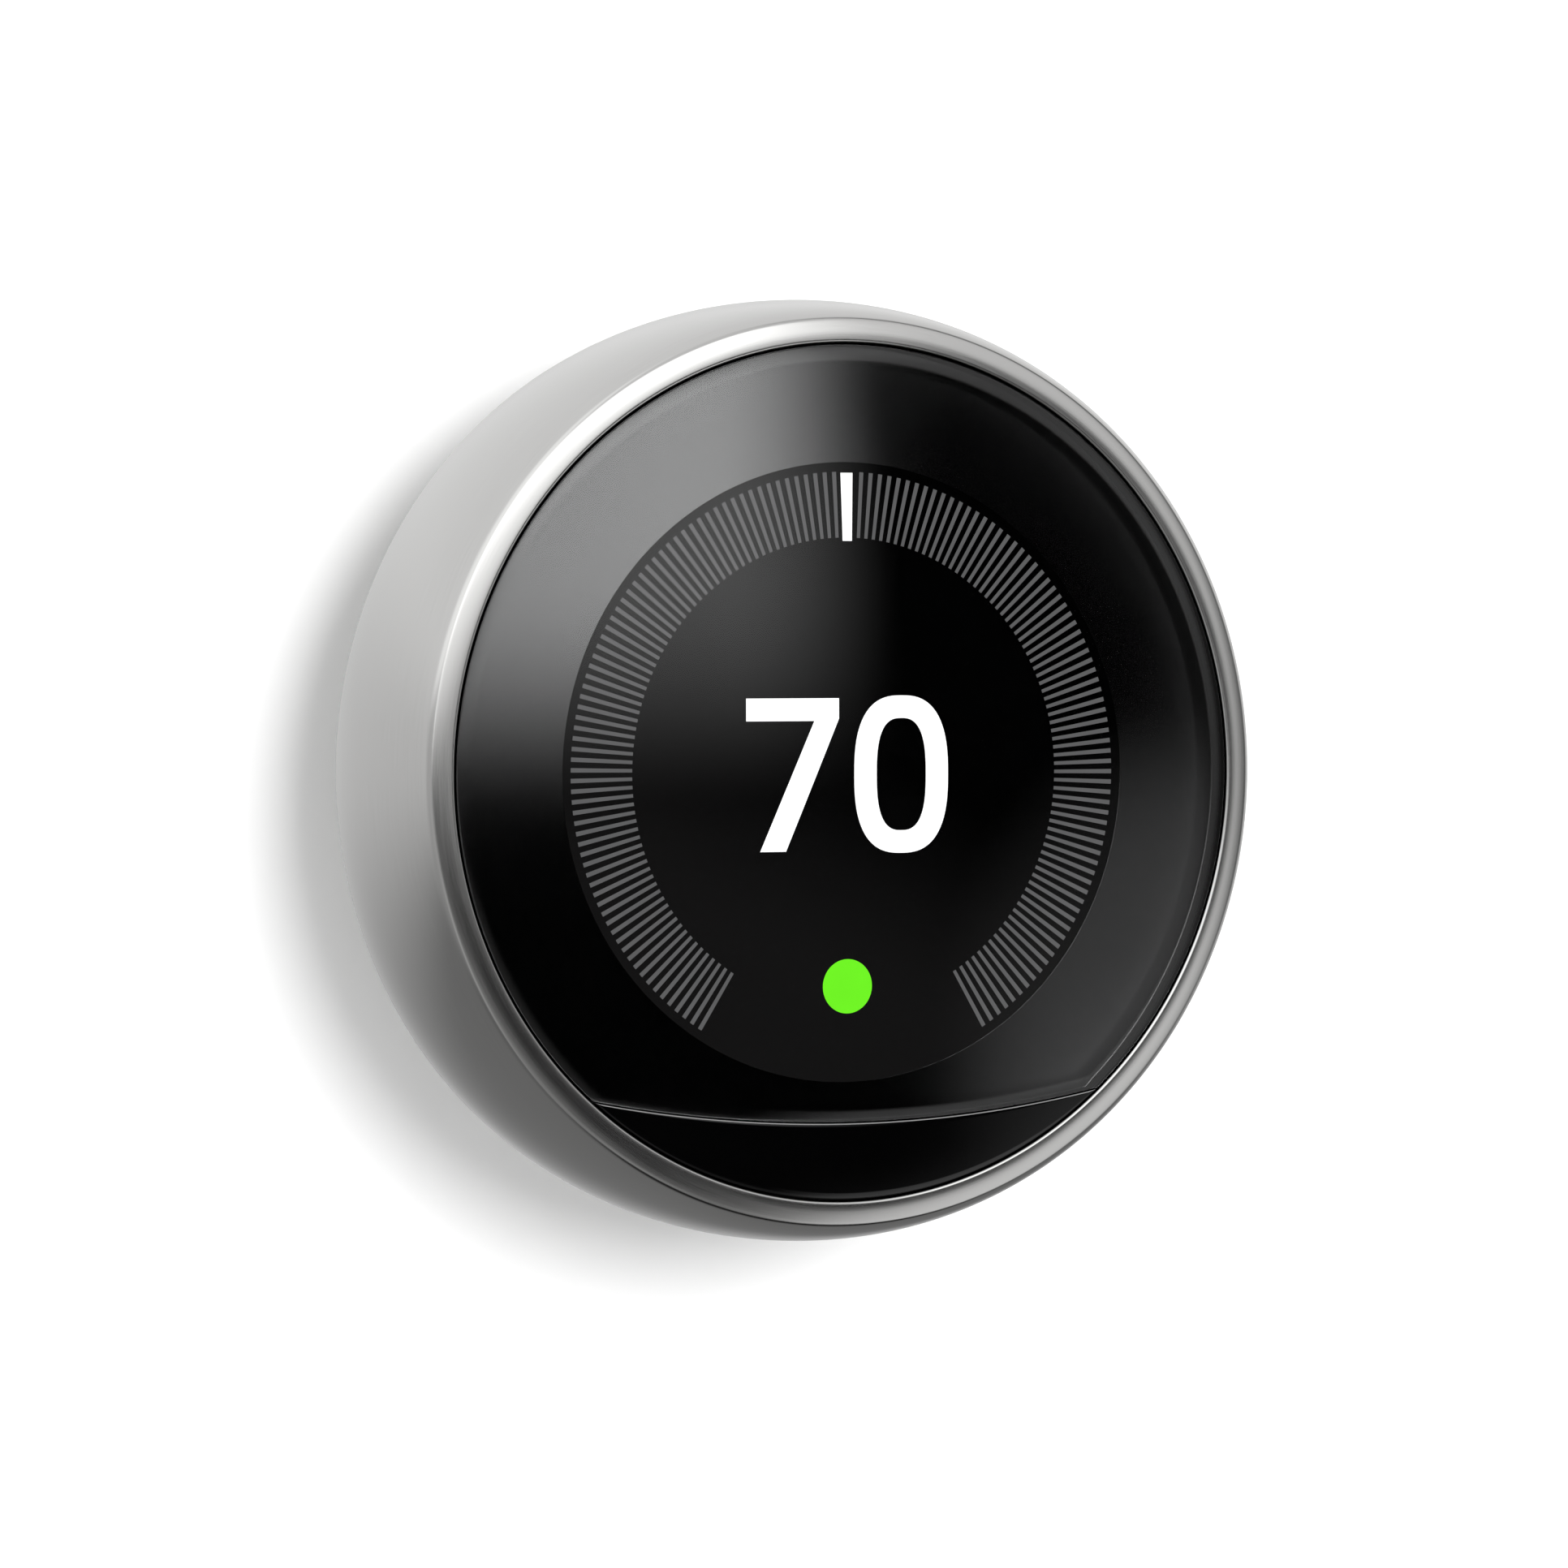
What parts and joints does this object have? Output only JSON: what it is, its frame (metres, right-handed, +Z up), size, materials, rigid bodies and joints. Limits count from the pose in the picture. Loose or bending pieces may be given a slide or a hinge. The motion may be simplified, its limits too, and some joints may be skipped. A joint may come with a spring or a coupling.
{
  "type": "wall thermostat",
  "caption": "Round wall thermostat with a turning steel ring round a domed glass display that presses in, on a pull-off wall base with wire terminals.",
  "frame": {"origin": "centre of the wall base's flat back face, on the wall", "axes": "+Y into the wall, -Y out to the room through the glass, +Z up, +X to the right seen from the room"},
  "size_m": [0.084, 0.0308, 0.084],
  "materials": {
    "satin_steel": "satin stainless steel with a fine turned grain",
    "front_glass": "polished, slightly smoked",
    "sensor_plastic": "glossy, infrared-clear black",
    "black_print": "screen-printed black",
    "display_glass": "polarised display glass",
    "backlight_film": "translucent white film",
    "chassis_plastic": "glass-filled, fine moulded grain",
    "glide_polymer": "low-friction white polymer",
    "encoder_plastic": "reflective grey moulding",
    "zinc_screw": "zinc-plated",
    "spring_steel": "drawn wire and strip",
    "board_green": "solder-masked laminate",
    "gold_contact": "gold-plated contacts",
    "connector_plastic": "moulded connector body",
    "flex_polyimide": "amber flexible circuit",
    "cell_wrap": "foil pouch",
    "lead_sleeve": "soft sleeve",
    "shield_tin": "tinned sheet",
    "chip_epoxy": "moulded package",
    "speaker_brass": "sounder disc case",
    "base_white": "moulded, fine grain",
    "terminal_grey": "flame-retardant grey moulding",
    "vial_clear": "clear acrylic tube",
    "vial_fluid": "yellow-green spirit"
  },
  "bodies": {
    "base": {"base_plate": "base_white", "base_cover": "base_white", "base_circuit_board": "board_green", "terminal_block_left": "terminal_grey", "terminal_block_right": "terminal_grey", "terminal_contacts": "gold_contact", "base_screws": "zinc_screw", "catch_clips": "spring_steel", "level_cradle": "terminal_grey", "level_vial": "vial_clear", "level_fluid": "vial_fluid", "base_connector": "connector_plastic", "base_connector_contacts": "gold_contact"},
    "head": {"rear_housing": "chassis_plastic", "head_connector": "connector_plastic", "head_connector_pins": "gold_contact", "main_circuit_board": "board_green", "board_screws": "zinc_screw", "battery": "cell_wrap", "battery_lead": "lead_sleeve", "rf_shield": "shield_tin", "processor": "chip_epoxy", "click_speaker": "speaker_brass", "usb_socket": "shield_tin", "ring_sensor": "chip_epoxy", "press_switch": "chip_epoxy", "motion_sensor": "shield_tin", "temperature_sensor": "chip_epoxy", "display_socket": "connector_plastic", "press_springs": "spring_steel"},
    "front": {"support_frame": "chassis_plastic", "retaining_ring": "chassis_plastic", "front_screws": "zinc_screw", "ring_glides": "glide_polymer", "display_tray": "chassis_plastic", "display_backlight": "backlight_film", "display_cell": "display_glass", "display_flex": "flex_polyimide", "black_mask": "black_print", "glass_lens": "front_glass", "sensor_window": "sensor_plastic"},
    "ring": {"control_ring": "satin_steel", "ring_liner": "chassis_plastic", "encoder_ring": "encoder_plastic"},
    "wire_tab_1": {"wire_tab_1": "terminal_grey"},
    "wire_tab_2": {"wire_tab_2": "terminal_grey"},
    "wire_tab_3": {"wire_tab_3": "terminal_grey"},
    "wire_tab_4": {"wire_tab_4": "terminal_grey"},
    "wire_tab_5": {"wire_tab_5": "terminal_grey"},
    "wire_tab_6": {"wire_tab_6": "terminal_grey"},
    "wire_tab_7": {"wire_tab_7": "terminal_grey"},
    "wire_tab_8": {"wire_tab_8": "terminal_grey"},
    "wire_tab_9": {"wire_tab_9": "terminal_grey"},
    "wire_tab_10": {"wire_tab_10": "terminal_grey"}
  },
  "joints": [
    {"name": "head_pull", "type": "slide", "parent": "base", "child": "head", "axis": [0, -1, 0], "range_m": [0, 0.03]},
    {"name": "front_press", "type": "slide", "parent": "head", "child": "front", "axis": [0, 1, 0], "range_m": [0, 0.0006], "stiffness_N_per_m": 3000, "springref_m": -0.0005, "deforming": ["press_springs"]},
    {"name": "ring_turn", "type": "hinge", "parent": "front", "child": "ring", "pos_m": [0, -0.02, 0], "axis": [0, -1, 0], "continuous": true},
    {"name": "wire_tab_1_press", "type": "slide", "parent": "base", "child": "wire_tab_1", "axis": [0, 1, 0], "range_m": [0, 0.0008], "stiffness_N_per_m": 1500, "springref_m": -0.0005},
    {"name": "wire_tab_2_press", "type": "slide", "parent": "base", "child": "wire_tab_2", "axis": [0, 1, 0], "range_m": [0, 0.0008], "stiffness_N_per_m": 1500, "springref_m": -0.0005},
    {"name": "wire_tab_3_press", "type": "slide", "parent": "base", "child": "wire_tab_3", "axis": [0, 1, 0], "range_m": [0, 0.0008], "stiffness_N_per_m": 1500, "springref_m": -0.0005},
    {"name": "wire_tab_4_press", "type": "slide", "parent": "base", "child": "wire_tab_4", "axis": [0, 1, 0], "range_m": [0, 0.0008], "stiffness_N_per_m": 1500, "springref_m": -0.0005},
    {"name": "wire_tab_5_press", "type": "slide", "parent": "base", "child": "wire_tab_5", "axis": [0, 1, 0], "range_m": [0, 0.0008], "stiffness_N_per_m": 1500, "springref_m": -0.0005},
    {"name": "wire_tab_6_press", "type": "slide", "parent": "base", "child": "wire_tab_6", "axis": [0, 1, 0], "range_m": [0, 0.0008], "stiffness_N_per_m": 1500, "springref_m": -0.0005},
    {"name": "wire_tab_7_press", "type": "slide", "parent": "base", "child": "wire_tab_7", "axis": [0, 1, 0], "range_m": [0, 0.0008], "stiffness_N_per_m": 1500, "springref_m": -0.0005},
    {"name": "wire_tab_8_press", "type": "slide", "parent": "base", "child": "wire_tab_8", "axis": [0, 1, 0], "range_m": [0, 0.0008], "stiffness_N_per_m": 1500, "springref_m": -0.0005},
    {"name": "wire_tab_9_press", "type": "slide", "parent": "base", "child": "wire_tab_9", "axis": [0, 1, 0], "range_m": [0, 0.0008], "stiffness_N_per_m": 1500, "springref_m": -0.0005},
    {"name": "wire_tab_10_press", "type": "slide", "parent": "base", "child": "wire_tab_10", "axis": [0, 1, 0], "range_m": [0, 0.0008], "stiffness_N_per_m": 1500, "springref_m": -0.0005}
  ]
}
